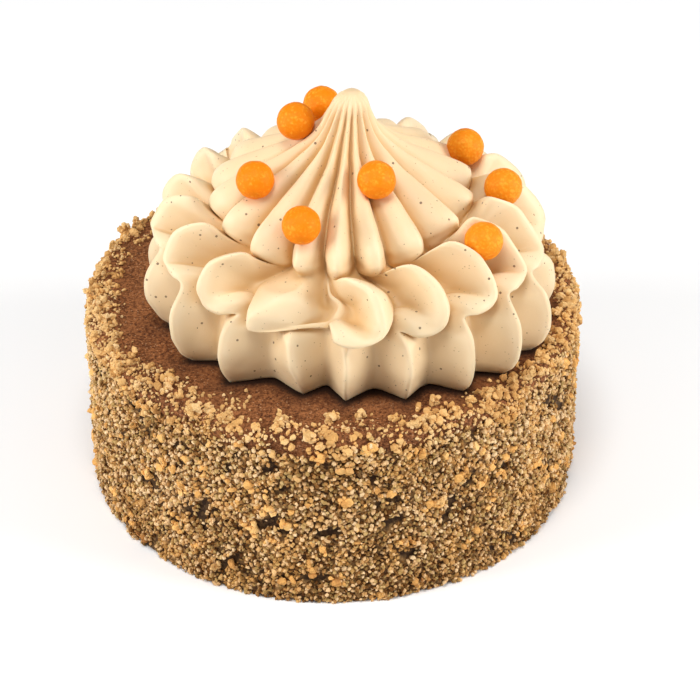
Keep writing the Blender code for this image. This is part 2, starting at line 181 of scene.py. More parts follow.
# Rays that find the hollows for the cream's painted shade, how far off the surface they start, and how far
# they lean to its normal
RAYS = 14
RAY_START = 0.05
RAY_LIFT = 1.05

# The brown cake: its rounded edge, its foot, the spans of its outline, the relief that shows between the
# crumbs, and how much of the coat's thin reach is bare
CAKE_EDGE = 1.8
CAKE_FOOT = 0.9
CAKE_COLUMNS = 320
SIDE_SPANS = 40
EDGE_SPANS = 6
TOP_SPANS = 44
SIDE_RELIEF = 0.35
SIDE_SINK = 0.1
BARE_SHARE = 0.6

# The crumb coat: its side, half the length round the edge, and the length from the middle of the edge down
CAKE_SIDE = 39.95
EDGE_HALF = CAKE_EDGE * math.pi / 4.0
COAT_LENGTH = CAKE_H - CAKE_EDGE + EDGE_HALF
GOLDEN_TURN = math.pi * (3.0 - math.sqrt(5.0))
CRUMB_RELIEF = 0.32
CRUMB_SUNK = 0.25
# Height below which the crumbs take a painted shade, deeper toward the foot
FOOT_SHADE_HEIGHT = 15.0
# The solid's large crumbs, whose places are found by the same rule and the same draws
RIM_CHIPS = 66
SIDE_CHIPS = 14
CHIP_BIG = 1.7
CHIP_SMALL = 0.8
CHIP_OUTER = 39.9
CHIP_BAND = 5.5
CHIP_RISE = 0.3
CHIP_CLEAR = 0.45
CHIP_REACH = 1.25 * 1.25
CHIP_DRAWS = 15
# Turn from the front, width of the band of loose crumbs on the top, how thickly it is strewn, and how far
# down the side the coat is thin
RIM_BAND = (
    (-180, 3.5, 0.55, 2.0), (-110, 4.5, 0.6, 2.0), (-75, 3.0, 1.0, 2.0), (-52, 4.5, 0.8, 3.0),
    (-28, 7.5, 0.9, 5.0), (-6, 2.6, 0.5, 5.5), (18, 4.0, 0.65, 4.0), (45, 3.0, 0.7, 2.5), (75, 2.6, 0.7, 2.0),
    (120, 3.5, 0.5, 2.0), (180, 3.5, 0.55, 2.0),
)

# The sugar pearls: their dimples and grain, and the width over which they go from deeper orange on the left
# to paler on the right
PEARL_R = 3.0
DIMPLE = 1.6
GRAIN = 0.5
DEEPENING_SPAN = 50.0 * MM

# The stage, in metres: where the lights aim, and each one's place and width; the camera's lens in millimetres
AIM = Vector((0.0, 0.0, 0.03))
TOP_LIGHT = (-0.05, -0.26, 0.76, 0.3)
LEFT_LIGHT = (-0.6, -0.18, 0.3, 0.35)
RIGHT_LIGHT = (0.6, -0.15, 0.3, 0.35)
FLOOR_SIZE = 3.0
SENSOR_WIDTH = 36.0
LENS = 141.84
CAMERA_PLACE = (0.0028, -0.3738, 0.2844)
CAMERA_TILT = math.radians(54.8)


class CreamSettings(bpy.types.PropertyGroup):
    columns: IntProperty(name="Columns per ridge", description="Faces across one ridge", default=24, min=6)
    spans: IntProperty(name="Spans per row", description="Faces between two profile rows", default=6, min=2)
    # Painted shade: width of the hollows whose shade is painted into the cream's colour
    hollow_shade_reach: FloatProperty(
        name="Hollow reach", description="Width of the grooves that deepen the colour",
        default=6.0 * MM, unit="LENGTH",
    )
    unevenness: FloatProperty(
        name="Unevenness", description="How far the hand-piped surface wanders",
        default=0.16 * MM, unit="LENGTH",
    )
    # The cream's own colour, on the ridges outside the painted shade
    crest_colour: FloatVectorProperty(
        name="Crest colour", description="Cream where the ridges catch the air", subtype="COLOR",
        default=(0.83, 0.62, 0.37),
    )
    # Painted highlight: the pale colour laid on the cream's sharp edges
    edge_highlight_colour: FloatVectorProperty(
        name="Edge colour", description="Cream on the thin edges", subtype="COLOR",
        default=(0.92, 0.76, 0.51),
    )
    # Painted shade: the colour the cream takes in its grooves and hollows
    groove_shade_colour: FloatVectorProperty(
        name="Groove colour", description="Cream deep between the ridges", subtype="COLOR",
        default=(0.70, 0.44, 0.19),
    )
    # Painted shade: the colour that darkens the cream toward its foot
    foot_shade_colour: FloatVectorProperty(
        name="Low colour", description="Dulls the cream toward its foot", subtype="COLOR",
        default=(0.35, 0.26, 0.15),
    )
    speck_colour: FloatVectorProperty(
        name="Speck colour", description="Ground spice in the cream", subtype="COLOR",
        default=(0.10, 0.045, 0.02),
    )
    spice_colour: FloatVectorProperty(
        name="Spice colour", description="Lighter spice in the cream", subtype="COLOR",
        default=(0.30, 0.15, 0.06),
    )
    stain_colour: FloatVectorProperty(
        name="Stain colour", description="Cream tinted by a pearl's sugar", subtype="COLOR",
        default=(0.86, 0.50, 0.27),
    )


class CakeSettings(bpy.types.PropertyGroup):
    radius: FloatProperty(
        name="Radius", description="Cake's side under the crumbs", default=39.9 * MM, unit="LENGTH",
    )
    # Width of the darker damp ring with painted shade round the cream, and of the painted shadow at its edge
    damp: FloatProperty(
        name="Damp", description="Width of the damp ring where the cream stands",
        default=2.6 * MM, unit="LENGTH",
    )
    grain: FloatProperty(
        name="Grain", description="Depth of the relief on the top", default=0.09 * MM, unit="LENGTH",
    )
    dark_colour: FloatVectorProperty(
        name="Dark brown", description="Darker grains of the cake", subtype="COLOR",
        default=(0.08, 0.022, 0.006),
    )
    light_colour: FloatVectorProperty(
        name="Light brown", description="Lighter grains of the cake", subtype="COLOR",
        default=(0.38, 0.148, 0.053),
    )
    coat_dark_colour: FloatVectorProperty(
        name="Dark coat", description="Gaps between the crumbs of the side", subtype="COLOR",
        default=(0.07, 0.028, 0.009),
    )
    coat_colour: FloatVectorProperty(
        name="Coat", description="Crumb dust behind the crumbs of the side", subtype="COLOR",
        default=(0.40, 0.22, 0.08),
    )


class CrumbSettings(bpy.types.PropertyGroup):
    fine: IntProperty(name="Fine crumbs", description="Fine crumbs of each kind on the side", default=9600)
    golden: IntProperty(name="Golden clumps", description="Clumps of golden crumbs on the side", default=260)
    rim: IntProperty(
        name="Rim clumps", description="Clumps of loose crumbs on the edge of the top", default=460,
    )
    fine_size: FloatProperty(
        name="Fine size", description="Typical radius of a fine crumb", default=0.31 * MM, unit="LENGTH",
    )
    pale_colour: FloatVectorProperty(
        name="Pale crumb", description="Palest crumbs", subtype="COLOR", default=(0.77, 0.52, 0.27),
    )
    tan_colour: FloatVectorProperty(
        name="Tan crumb", description="Middle crumbs", subtype="COLOR", default=(0.50, 0.26, 0.085),
    )
    gold_colour: FloatVectorProperty(
        name="Golden crumb", description="Toasted golden crumbs", subtype="COLOR", default=(0.80, 0.43, 0.13),
    )
    toast_colour: FloatVectorProperty(
        name="Toasted crumb", description="Darkest crumbs", subtype="COLOR", default=(0.15, 0.058, 0.012),
    )


class PearlSettings(bpy.types.PropertyGroup):
    radius: FloatProperty(
        name="Radius", description="Sugar pearl radius", default=PEARL_R * MM, unit="LENGTH",
    )
    dimples: FloatProperty(
        name="Dimples", description="Depth of the shell's dimples", default=0.06 * MM, unit="LENGTH",
    )
    colour: FloatVectorProperty(
        name="Colour", description="Sugar shell", subtype="COLOR", default=(0.85, 0.225, 0.003),
    )
    pale_colour: FloatVectorProperty(
        name="Pale colour", description="Shell where the sugar is thin", subtype="COLOR",
        default=(0.92, 0.35, 0.025),
    )


class StageSettings(bpy.types.PropertyGroup):
    top_power: FloatProperty(
        name="Top light", description="Power of the top light", default=2.9, unit="POWER",
    )
    left_power: FloatProperty(
        name="Left light", description="Power of the left light", default=3.1, unit="POWER",
    )
    right_power: FloatProperty(
        name="Right light", description="Power of the right light", default=3.2, unit="POWER",
    )
    dome: FloatProperty(name="Dome", description="Strength of the even light", default=0.3)
    floor_colour: FloatVectorProperty(
        name="Floor colour", description="Pale floor", subtype="COLOR", default=(0.96, 0.96, 0.96),
    )


class Value:
    """A socket of a finish's nodes, with arithmetic that adds Math nodes."""

    def __init__(self, finish, socket):
        self.finish = finish
        self.socket = socket

    def math(self, operation, first, second):
        return self.finish.node("ShaderNodeMath", {"operation": operation}, {0: first, 1: second})[0]

    def __add__(self, other):
        return self.math("ADD", self, other)

    def __radd__(self, other):
        return self.math("ADD", other, self)

    def __sub__(self, other):
        return self.math("SUBTRACT", self, other)

    def __rsub__(self, other):
        return self.math("SUBTRACT", other, self)

    def __mul__(self, other):
        return self.math("MULTIPLY", self, other)

    def __rmul__(self, other):
        return self.math("MULTIPLY", other, self)

    def __gt__(self, other):
        return self.math("GREATER_THAN", self, other)

    def __lt__(self, other):
        return self.math("LESS_THAN", self, other)

    def step(self, low, high):
        """0 below low, 1 above high and smooth between them."""
        settings = {"interpolation_type": "SMOOTHSTEP"}
        values = {"Value": self, "From Min": low, "From Max": high}
        return self.finish.node("ShaderNodeMapRange", settings, values)[0]


class Finish:
    """A material whose nodes are added one at a time."""

    def __init__(self, name, **constants):
        self.material = bpy.data.materials.new(name)
        self.material.use_nodes = True
        self.tree = self.material.node_tree
        self.shader = self.tree.nodes["Principled BSDF"]
        for socket, value in constants.items():
            self.shader.inputs[socket.replace("_", " ")].default_value = value
        self.place = self.node("ShaderNodeTexCoord")["Object"]

    def node(self, kind, settings=None, values=None):
        """Adds a node with its settings and socket values, and returns its outputs."""
        made = self.tree.nodes.new(kind)
        for setting, value in (settings or {}).items():
            if setting == "stops":
                ramp = made.color_ramp
                while len(ramp.elements) < len(value):
                    ramp.elements.new(1.0)
                for element, (position, colour) in zip(ramp.elements, value):
                    element.position = position
                    element.color = (*colour, 1.0)
            else:
                setattr(made, setting, value)
        for socket, value in (values or {}).items():
            if isinstance(value, Value):
                self.tree.links.new(value.socket, made.inputs[socket])
            else:
                made.inputs[socket].default_value = value
        return Outputs(self, made)

    def noise(self, size, detail=2.0, roughness=0.5):
        """Noise whose lumps are about this size, from 0 to 1."""
        values = {"Vector": self.place, "Scale": 1.0 / size, "Detail": detail, "Roughness": roughness}
        return self.node("ShaderNodeTexNoise", None, values)[0]

    def cells(self, size, feature="F1", output="Distance"):
        values = {"Vector": self.place, "Scale": 1.0 / size}
        return self.node("ShaderNodeTexVoronoi", {"feature": feature}, values)[output]

    def painted(self, name):
        """A value that the mesh carries."""
        return self.node("ShaderNodeAttribute", {"attribute_name": name})["Fac"]

    def mix(self, share, first, second):
        """The first colour, going over to the second as share goes to 1."""
        settings = {"data_type": "RGBA"}
        values = {0: share, 6: colour4(first), 7: colour4(second)}
        return self.node("ShaderNodeMix", settings, values)[2]

    def bump(self, height, distance, strength):
        values = {"Height": height, "Distance": distance, "Strength": strength}
        return self.node("ShaderNodeBump", None, values)[0]

    def height(self):
        """Height above the floor, in metres."""
        return self.node("ShaderNodeSeparateXYZ", None, {"Vector": self.place})["Z"]

    def feed(self, **values):
        for socket, value in values.items():
            self.tree.links.new(value.socket, self.shader.inputs[socket.replace("_", " ")])


class Outputs:
    """A node's outputs by name or number."""

    def __init__(self, finish, node):
        self.finish = finish
        self.made = node

    def __getitem__(self, key):
        return Value(self.finish, self.made.outputs[key])


def colour4(colour):
    return colour if isinstance(colour, Value) else (*colour, 1.0)


def random_side(draw):
    """A direction drawn evenly from the whole sphere."""
    return Vector((draw.gauss(0.0, 1.0), draw.gauss(0.0, 1.0), draw.gauss(0.0, 1.0))).normalized()


def add_piece(name, mesh, finish, smooth=True):
    """A finished piece that rides on the cake's one body."""
    mesh.name = name
    mesh.materials.append(finish.material)
    mesh.polygons.foreach_set("use_smooth", [smooth] * len(mesh.polygons))
    obj = bpy.data.objects.new(name, mesh)
    bpy.context.scene.collection.objects.link(obj)
    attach(obj, "root")
    return obj


def close_ends(bm):
    rim = [edge for edge in bm.edges if edge.is_boundary]
    bmesh.ops.holes_fill(bm, edges=rim, sides=0)


def finished_mesh(bm):
    bmesh.ops.recalc_face_normals(bm, faces=bm.faces)
    mesh = bpy.data.meshes.new("piece")
    bm.to_mesh(mesh)
    bm.free()
    return mesh


def paint(mesh, name, values):
    mesh.attributes.new(name, "FLOAT", "POINT").data.foreach_set("value", values)


def tree_of(obj):
    bm = bmesh.new()
    bm.from_mesh(obj.data)
    tree = BVHTree.FromBMesh(bm)
    bm.free()
    return tree


def hollows(mesh, reach):
    """How far the surface round each vertex walls it in, from 0 in the open to 1, for the painted shade in
    the cream's hollows.
    """
    bm = bmesh.new()
    bm.from_mesh(mesh)
    tree = BVHTree.FromBMesh(bm)
    draw = random.Random(3)
    rays = [random_side(draw) for _ in range(RAYS)]
    shares = []
    for vert in bm.verts:
        start = vert.co + vert.normal * RAY_START * MM
        walled = 0.0
        for ray in rays:
            side = (ray + vert.normal * RAY_LIFT).normalized()
            distance = tree.ray_cast(start, side, reach)[3]
            walled += 0.0 if distance is None else 1.0 - distance / reach
        shares.append(walled / len(rays))
    bm.free()
    return shares


def spun_grid(rows, columns):
    """An open tube of unit radius whose rings are one unit apart, for placing by row and column."""
    bm = bmesh.new()
    line = [bm.verts.new((1.0, 0.0, float(row))) for row in range(rows)]
    edges = [bm.edges.new(pair) for pair in zip(line, line[1:])]
    bmesh.ops.spin(
        bm, geom=line + edges, cent=(0, 0, 0), axis=(0, 0, 1),
        angle=2.0 * math.pi, steps=columns, use_merge=True,
    )
    return bm


def row_and_column(vert, columns):
    turn = math.atan2(vert.co.y, vert.co.x) / (2.0 * math.pi)
    return round(vert.co.z), round(turn * columns) % columns


def ridge_paths():
    """Crest and groove paths of every ridge, as (turn, radius, height) for each profile row."""
    crest = np.zeros((RIDGES, len(ROWS), 3))
    groove = np.zeros((RIDGES, len(ROWS), 3))
    numbers = np.arange(RIDGE_FIRST, RIDGE_FIRST + RIDGES)
    plain = RIDGE_STEP * numbers + RIDGE_PHASE
    sway = np.sin(np.radians(plain))
    lower = plain - TIER_GATHER * sway + [LOWER_TURN.get(k, 0.0) for k in numbers]
    finger = plain + FINGER_SPREAD * sway + [FINGER_TURN.get(k, 0.0) for k in numbers]
    at_back = BACK_LEAN * (1.0 - (plain - BACK_LEAN_START) / BACK_LEAN_SPAN)
    lean = np.array([LEAN.get(k, at_back[i]) for i, k in enumerate(numbers)])
    reach = np.array([FOOT_REACH.get(k, 0.0) for k in numbers])
    rise = BACK_RISE * (1.0 - np.cos(np.radians(plain))) / 2.0
    fill = np.array([FILLED.get(k, 1.0) for k in numbers])
    climb = np.array([CLIMB.get(k, 0.0) for k in numbers])
    beside_lower = (lower + np.append(lower[1:], lower[0] + 360.0)) / 2.0
    beside_finger = (finger + np.append(finger[1:], finger[0] + 360.0)) / 2.0
    beside_lean = (lean + np.roll(lean, -1)) / 2.0
    beside_reach = (reach + np.roll(reach, -1)) / 2.0
    skew = FINGER_SKEW * np.clip(np.sin(np.radians(beside_finger)) * 2.0, -1.0, 1.0)
    for j, row in enumerate(ROWS):
        crest_r, crest_z, groove_r, groove_z, tier, crest_lean, groove_lean = PROFILE[row]
        fold = np.array([FOLDED.get(k, {}).get(row, (crest_lean, 0.0, 0.0)) for k in numbers])
        foot = FOOT_SHARE.get(row, 0.0)
        lift = rise if row in RISING else 0.0
        out, up, along = FILL.get(row, (0.0, 0.0, 0.0))
        inward, upward = CLIMB_SHARE.get(row, (0.0, 0.0))
        crest[:, j, 1] = crest_r + reach * foot + fill * out + climb * inward + fold[:, 1]
        groove[:, j, 1] = groove_r + beside_reach * foot
        crest[:, j, 2] = crest_z + lift + fill * up + climb * upward + fold[:, 2]
        groove[:, j, 2] = groove_z + lift
        if tier in ("finger", "spire"):
            crest[:, j, 0] = finger
            groove[:, j, 0] = beside_finger - skew * groove_lean
        else:
            crest[:, j, 0] = lower + lean * (fold[:, 0] + fill * along)
            groove[:, j, 0] = beside_lower + beside_lean * groove_lean
        groove[TONGUE - RIDGE_FIRST, j, :2] += BOWL.get(row, (0.0, 0.0))
    return crest, groove


def smooth_path(points, spans):
    """Catmull-Rom samples along axis 1 of an array of paths, with this many spans after each row."""
    before = 2.0 * points[:, :1] - points[:, 1:2]
    after = 2.0 * points[:, -1:] - points[:, -2:-1]
    padded = np.concatenate([before, points, after], axis=1)
    samples = []
    for j in range(points.shape[1] - 1):
        a, b, c, d = (padded[:, j + step] for step in range(4))
        for step in range(spans):
            t = step / spans
            cubic = (3.0 * b - a - 3.0 * c + d) * t**3
            square = (2.0 * a - 5.0 * b + 4.0 * c - d) * t**2
            samples.append(0.5 * (2.0 * b + (c - a) * t + square + cubic))
    samples.append(points[:, -1])
    return np.stack(samples, axis=1)


def form_path(number, spans):
    """Cross-section numbers along a ridge, from the foot to the peak."""
    own = OWN_FORMS.get(number, BACK_FORMS if number > BACK_RIDGE else {})
    forms = {**FORMS, **own}
    return smooth_path(np.array([[forms[PROFILE[row][4]] for row in ROWS]]), spans)[0]


def swirl_points(columns_per_ridge, spans):
    """Positions of the cream's surface by row and column."""
    crest, groove = ridge_paths()
    crest = smooth_path(crest, spans)
    groove = smooth_path(groove, spans)
    forms = {number: form_path(number, spans) for number in range(RIDGE_FIRST, RIDGE_FIRST + RIDGES + 1)}
    rows = crest.shape[1]
    columns = RIDGES * columns_per_ridge
    points = np.zeros((rows, columns, 3))
    for column in range(columns):
        ridge, part = divmod(column, columns_per_ridge)
        across = 2.0 * part / columns_per_ridge
        past = across > 1.0
        t = 2.0 - across if past else across
        number = RIDGE_FIRST + ridge + past
        facing = FACING_GAIN * math.sin(math.radians(RIDGE_STEP * number + FACING_TURN))
        facing = max(-1.0, min(1.0, facing))
        front_side = 0.5 + 0.5 * facing * (1.0 if past else -1.0)
        section = forms[number]
        p, q = (section[:, i] * front_side + section[:, i + 2] * (1.0 - front_side) for i in (0, 1))
        swell = section[:, 4] * math.sin(math.pi * t) + section[:, 5] * math.sin(2.0 * math.pi * t)
        near = crest[(ridge + past) % RIDGES].copy()
        near[:, 0] += 360.0 * (ridge + past == RIDGES)
        low = groove[ridge]
        height = (1.0 - t**p) ** q
        turn = np.radians(near[:, 0] + (low[:, 0] - near[:, 0]) * t)
        radius = low[:, 1] + (near[:, 1] - low[:, 1]) * height
        z = low[:, 2] + (near[:, 2] - low[:, 2]) * height + swell * front_side
        shift = FINGER_SHIFT * np.clip((z - FINGER_LOW) / FINGER_RISE, 0.0, 1.0)
        shift *= np.clip((FINGER_HIGH - z) / FINGER_FALL, 0.0, 1.0)
        points[:, column, 0] = radius * np.sin(turn) + SWIRL_X + shift
        points[:, column, 1] = -radius * np.cos(turn) + SWIRL_Y
        points[:, column, 2] = z + CAKE_H + GAP
    return points


def pearl_centre(node):
    low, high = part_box(node)
    return Vector([(a + b) / 2.0 for a, b in zip(low, high)])


def sharpness(points, times):
    """How far each grid point stands out of its smoothed surroundings, in millimetres."""
    smooth = points.copy()
    for _ in range(times):
        smooth = 0.5 * smooth + 0.25 * (np.roll(smooth, 1, 1) + np.roll(smooth, -1, 1))
        smooth[1:-1] = 0.5 * smooth[1:-1] + 0.25 * (smooth[:-2] + smooth[2:])
    across = np.roll(points, -1, 1) - np.roll(points, 1, 1)
    normal = np.cross(across, np.gradient(points, axis=0))
    normal /= np.linalg.norm(normal, axis=2, keepdims=True) + 1e-9
    return ((points - smooth) * normal).sum(axis=2)


class DESSERT_OT_cream(bpy.types.Operator):
    """Pipes the cream swirl that stands for the swirl node"""

    bl_idname = "dessert.cream"
    bl_label = "Cream swirl"

    def execute(self, context):
        settings = context.scene.cheesecake_cream
        points = swirl_points(settings.columns, settings.spans)
        rows, columns, _ = points.shape
        sharp = sharpness(points, EDGE_SMOOTHING)
        bm = spun_grid(rows, columns)
        # The edge layer carries how far each point stands out, for the painted highlight on the sharp edges
        edge = bm.verts.layers.float.new("edge")
        noise.seed_set(WANDER_SEED)
        for vert in bm.verts:
            row, column = row_and_column(vert, columns)
            place = Vector(points[row, column]) * MM
            wander = noise.noise_vector(place / (WANDER_LONG * MM))
            wander += 0.5 * noise.noise_vector(place / (WANDER_SHORT * MM))
            wander.z *= 0.5
            vert.co = place + wander * settings.unevenness
            vert[edge] = sharp[row, column]
        close_ends(bm)
        mesh = finished_mesh(bm)
        centres = [pearl_centre(node) for node in PEARL_NODES]
        stain = []
        for vert in mesh.vertices:
            away = min((vert.co - centre).length for centre in centres) - PEARL_R * MM
            stain.append(math.exp(-max(away, 0.0) / (STAIN_REACH * MM)))
        paint(mesh, "stain", stain)
        # Painted shade: how walled in each point is, which darkens the cream's colour in its hollows
        paint(mesh, "hollow", hollows(mesh, settings.hollow_shade_reach))
        swirl = add_piece("cream_swirl", mesh, cream_finish(settings))
        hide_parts("swirl")
        return {"FINISHED"}


def cream_finish(settings):
    """Smooth ivory cream with ground spice, paler on the crests, painted shade in its hollows and low down,
    painted highlight on its edges, tinted by the pearls.
    """
    finish = Finish(
        "spiced cream", Roughness=0.5, Subsurface_Weight=0.2, Subsurface_Scale=1.2 * MM,
        Subsurface_Radius=(1.0, 0.75, 0.5), Specular_IOR_Level=0.4,
    )
    # Painted shade: the cream goes toward the groove shade colour in its hollows and grooves
    hollow = finish.painted("hollow")
    cloud = finish.noise(6.0 * MM, 3.0)
    edge = finish.painted("edge")
    deep = (hollow + cloud * 0.2 - edge).step(0.08, 0.85)
    colour = finish.mix(deep, settings.crest_colour, settings.groove_shade_colour)
    # Painted highlight: sharp edges go toward the edge highlight colour
    colour = finish.mix(edge.step(0.06, 0.24) * 0.5, colour, settings.edge_highlight_colour)
    # Painted shade: the cream darkens toward its foot, fading out between the two heights
    low = 1.0 - finish.height().step((CAKE_H + FOOT_SHADE_LOW) * MM, (CAKE_H + FOOT_SHADE_HIGH) * MM)
    colour = finish.mix(low * 0.15, colour, settings.foot_shade_colour)
    colour = finish.mix(finish.painted("stain") * 0.45, colour, settings.stain_colour)
    cell = finish.cells(2.1 * MM)
    patch = finish.noise(3.3 * MM, 1.0)
    speck = (cell < 0.06 + patch * 0.07) * (patch > 0.44)
    spice = (finish.cells(1.5 * MM) < 0.08) * (finish.noise(2.9 * MM, 0.0) > 0.48)
    fine = (finish.cells(0.8 * MM) < 0.12) * (finish.noise(2.3 * MM, 0.0) > 0.54)
    colour = finish.mix(fine * 0.4, colour, settings.speck_colour)
    colour = finish.mix(spice * 0.5, colour, settings.spice_colour)
    colour = finish.mix(speck * 0.78, colour, settings.speck_colour)
    skin = finish.noise(0.5 * MM, 3.0) * 0.6 + finish.noise(2.4 * MM, 2.0)
    finish.feed(Base_Color=colour, Normal=finish.bump(skin, 0.05 * MM, 0.6))
    finish.feed(Roughness=finish.noise(1.2 * MM, 2.0) * 0.25 + 0.38)
    return finish


def cake_outline(radius):
    """Radius and height from the underside's edge up the side, over the rounded edge and inward."""
    outline = [(radius - 0.6, 0.0), (radius - 0.1, 0.35), (radius, CAKE_FOOT)]
    side = CAKE_H - CAKE_EDGE - CAKE_FOOT
    outline += [(radius, CAKE_FOOT + side * step / SIDE_SPANS) for step in range(1, SIDE_SPANS + 1)]
    for step in range(1, EDGE_SPANS + 1):
        turn = math.pi / 2.0 * step / EDGE_SPANS
        inset = CAKE_EDGE * (1.0 - math.cos(turn))
        outline.append((radius - inset, CAKE_H - CAKE_EDGE * (1.0 - math.sin(turn))))
    reach = radius - CAKE_EDGE
    outline += [(reach * (1.0 - step / TOP_SPANS), CAKE_H) for step in range(1, TOP_SPANS - 1)]
    return outline


class DESSERT_OT_cake(bpy.types.Operator):
    """Makes the brown cake that the crumbs lie on"""

    bl_idname = "dessert.cake"
    bl_label = "Brown cake"

    def execute(self, context):
        settings = context.scene.cheesecake_cake
        outline = cake_outline(settings.radius / MM)
        bm = spun_grid(len(outline), CAKE_COLUMNS)
        for vert in bm.verts:
            row, column = row_and_column(vert, CAKE_COLUMNS)
            across, height = outline[row]
            turn = 2.0 * math.pi * column / CAKE_COLUMNS
            place = Vector((across * math.sin(turn), -across * math.cos(turn), height)) * MM
            out = Vector((math.sin(turn), -math.cos(turn), 0.0))
            if CAKE_FOOT < height < CAKE_H - CAKE_EDGE:
                place += out * (coat_depth(place) * SIDE_RELIEF - SIDE_SINK) * MM
            elif height >= CAKE_H - CAKE_EDGE:
                place.z += coat_depth(place) * settings.grain
            vert.co = place
        close_ends(bm)
        mesh = finished_mesh(bm)
        tree = tree_of(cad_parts["swirl"])
        coat = []
        pit = []
        damp = []
        for vert in mesh.vertices:
            depth = coat_depth(vert.co)
            down = CAKE_H - vert.co.z / MM + depth
            thin = rim_band(math.atan2(vert.co.x, -vert.co.y))[2] * BARE_SHARE
            coat.append(min(max(down - thin, 0.0), 1.0))
            # How deep each point lies in a hollow of the coat, for the painted shade there
            pit.append(max(-depth, 0.0))
            # Closeness to the cream, for the damp ring and the painted shadow round its foot
            damp.append(math.exp(-tree.find_nearest(vert.co)[3] / settings.damp))
        paint(mesh, "coat", coat)
        paint(mesh, "pit", pit)
        paint(mesh, "damp", damp)
        cake = add_piece("brown_cake", mesh, cake_finish(settings))
        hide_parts("cake")
        return {"FINISHED"}


def cake_finish(settings):
    """Matte brown with a fine grain and a few lighter crumbs in its surface."""
    finish = Finish("brown cake", Roughness=0.8, Specular_IOR_Level=0.15)
    grain = finish.noise(0.45 * MM, 4.0, 0.7)
    cloud = finish.noise(7.0 * MM, 3.0)
    tone = (grain * 1.4 + cloud * 0.4).step(0.65, 1.15)
    colour = finish.mix(tone, settings.dark_colour, settings.light_colour)
    bits = (finish.cells(0.55 * MM) < 0.22) * (finish.noise(1.6 * MM, 1.0) > 0.48)
    colour = finish.mix(bits * 0.5, colour, (0.62, 0.36, 0.19))
    pits = (finish.cells(0.7 * MM) < 0.22) * (finish.noise(1.9 * MM, 1.0) > 0.5)
    colour = finish.mix(pits * 0.7, colour, (0.04, 0.014, 0.006))
    damp = finish.painted("damp")
    # A darker damp ring with painted shade round the cream's foot, then a near-black painted shadow right at
    # its edge
    colour = finish.mix(damp.step(0.03, 0.6) * 0.5, colour, (0.05, 0.015, 0.006))
    colour = finish.mix(damp.step(0.5, 0.85) * 0.9, colour, (0.012, 0.005, 0.003))
    height = grain + bits * 0.7 - pits * 0.8
    chaff = finish.cells(0.55 * MM, output="Color")
    crumb = finish.node("ShaderNodeSeparateColor", None, {"Color": chaff})[0]
    meal = (crumb * 0.8 + grain * 0.4).step(0.3, 1.0)
    coat = finish.mix(meal, settings.coat_dark_colour, settings.coat_colour)
    # Painted shade: the coat darkens to near black in its hollows
    coat = finish.mix(finish.painted("pit").step(0.15, 0.6) * 0.85, coat, (0.02, 0.008, 0.003))
    colour = finish.mix(finish.painted("coat"), colour, coat)
    finish.feed(Base_Color=colour, Normal=finish.bump(height + crumb * 0.8, 0.18 * MM, 0.9))
    finish.feed(Roughness=grain * 0.4 + 0.5)
    return finish


def crumb_shape(draw, detail, roughness):
    """Corners and faces of one broken crumb of unit radius."""
    bm = bmesh.new()
    bmesh.ops.create_icosphere(bm, subdivisions=detail, radius=1.0)
    seed = Vector((draw.random(), draw.random(), draw.random())) * 50.0
    for vert in bm.verts:
        lump = noise.noise(vert.co * 1.1 + seed) + 0.5 * noise.noise(vert.co * 2.6 + seed)
        vert.co *= 1.0 + roughness * lump + draw.uniform(-0.08, 0.08)
    for _ in range(2):
        side = random_side(draw)
        depth = draw.uniform(0.55, 0.8)
        for vert in bm.verts:
            beyond = vert.co.dot(side) - depth
            if beyond > 0.0:
                vert.co -= side * beyond * 0.85
    bm.verts.index_update()
    corners = np.array([vert.co[:] for vert in bm.verts])
    faces = np.array([[vert.index for vert in face.verts] for face in bm.faces])
    bm.free()
    return corners, faces


def joined_crumbs(places, shapes, seed):
    """One mesh of many crumbs: places are (centre, radii), each with one of the shapes, turned."""
    draw = random.Random(seed)
    corners = []
    faces = []
    tones = []
    start = 0
    for centre, radii in places:
        points, sides = shapes[draw.randrange(len(shapes))]
        turn = np.array(Euler([draw.uniform(0.0, 2.0 * math.pi) for _ in range(3)]).to_matrix())
        corners.append((points * np.array(radii)) @ turn.T + np.array(centre))
        faces.append(sides + start)
        tones.append(np.full(len(points), draw.random()))
        start += len(points)
    corners = np.concatenate(corners)
    faces = np.concatenate(faces)
    mesh = bpy.data.meshes.new("crumbs")
    mesh.vertices.add(len(corners))
    mesh.vertices.foreach_set("co", corners.ravel())
    mesh.loops.add(faces.size)
    mesh.loops.foreach_set("vertex_index", faces.ravel())
    mesh.polygons.add(len(faces))
    mesh.polygons.foreach_set("loop_start", np.arange(0, faces.size, 3))
    mesh.update(calc_edges=True)
    paint(mesh, "tone", np.concatenate(tones))
    return mesh


def on_side(turn, height, out):
    return Vector((out * math.sin(turn), -out * math.cos(turn), height)) * MM


def crumb_radii(draw, size):
    return [size * draw.uniform(0.6, 1.4) * MM for _ in range(3)]


def coat_depth(place):
    """How thickly the crumbs lie here, from about -1 in a hollow to 1."""
    return noise.noise(place / (5.5 * MM)) + 0.8 * noise.noise(place / (1.9 * MM))


def edge_place(turn, along, lift):
    """A place on the coat, this far down from the middle of its rounded edge, or inward over the top."""
    angle = math.pi / 4.0 + min(max(along, -EDGE_HALF), EDGE_HALF) / CAKE_EDGE
    out = CAKE_SIDE - CAKE_EDGE + (CAKE_EDGE + lift) * math.sin(angle) + min(along + EDGE_HALF, 0.0)
    height = CAKE_H - CAKE_EDGE + (CAKE_EDGE + lift) * math.cos(angle) - max(along - EDGE_HALF, 0.0)
    return on_side(turn, height, out)


def rim_band(turn):
    """Width, share and thin reach of the rim's crumbs at this turn in radians."""
    turns, *bands = zip(*RIM_BAND)
    degrees = (math.degrees(turn) + 180.0) % 360.0 - 180.0
    return [np.interp(degrees, turns, band) for band in bands]


